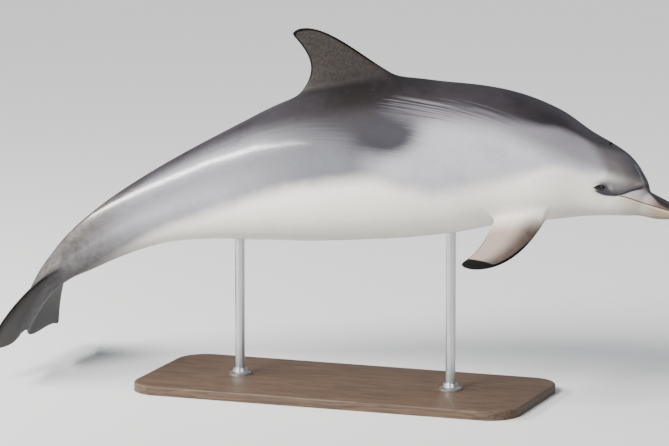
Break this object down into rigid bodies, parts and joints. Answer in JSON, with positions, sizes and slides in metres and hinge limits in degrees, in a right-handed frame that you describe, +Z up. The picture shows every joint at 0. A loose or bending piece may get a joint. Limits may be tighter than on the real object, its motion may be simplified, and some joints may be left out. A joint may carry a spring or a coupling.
{
  "type": "bottlenose dolphin",
  "caption": "Life-size bottlenose dolphin in an arched leap, a still display model held by a flat base and short upright rods.",
  "frame": {"origin": "centre of the whole model's box, on the floor under the stand's base", "axes": "+X towards the beak, +Y to the animal's left, +Z up"},
  "size_m": [2.2669, 0.7658, 1.1724],
  "materials": {
    "dolphin_skin": "wet, smooth skin: brown-grey back, paler flanks, cream belly",
    "beak_skin": "wet, smooth skin: dark brown top of the beak, pale sides",
    "jaw_skin": "wet, smooth cream skin",
    "fin_skin": "wet, smooth brown-grey skin with dark edges and tips",
    "eye": "wet gloss, dark brown",
    "base_plate": "satin dark stain",
    "steel_rod": "fine brushed"
  },
  "bodies": {
    "root": {"beak_upper": "beak_skin", "lower_jaw": "jaw_skin", "head": "dolphin_skin", "thorax": "dolphin_skin", "abdomen": "dolphin_skin", "tail_stock": "dolphin_skin", "dorsal_fin": "fin_skin", "flipper_left": "fin_skin", "flipper_right": "fin_skin", "fluke_left": "fin_skin", "fluke_right": "fin_skin", "eye_left": "eye", "eye_right": "eye", "stand_base": "base_plate", "stand_rod_front": "steel_rod", "stand_rod_rear": "steel_rod", "stand_collar_front": "steel_rod", "stand_collar_rear": "steel_rod"}
  },
  "joints": []
}
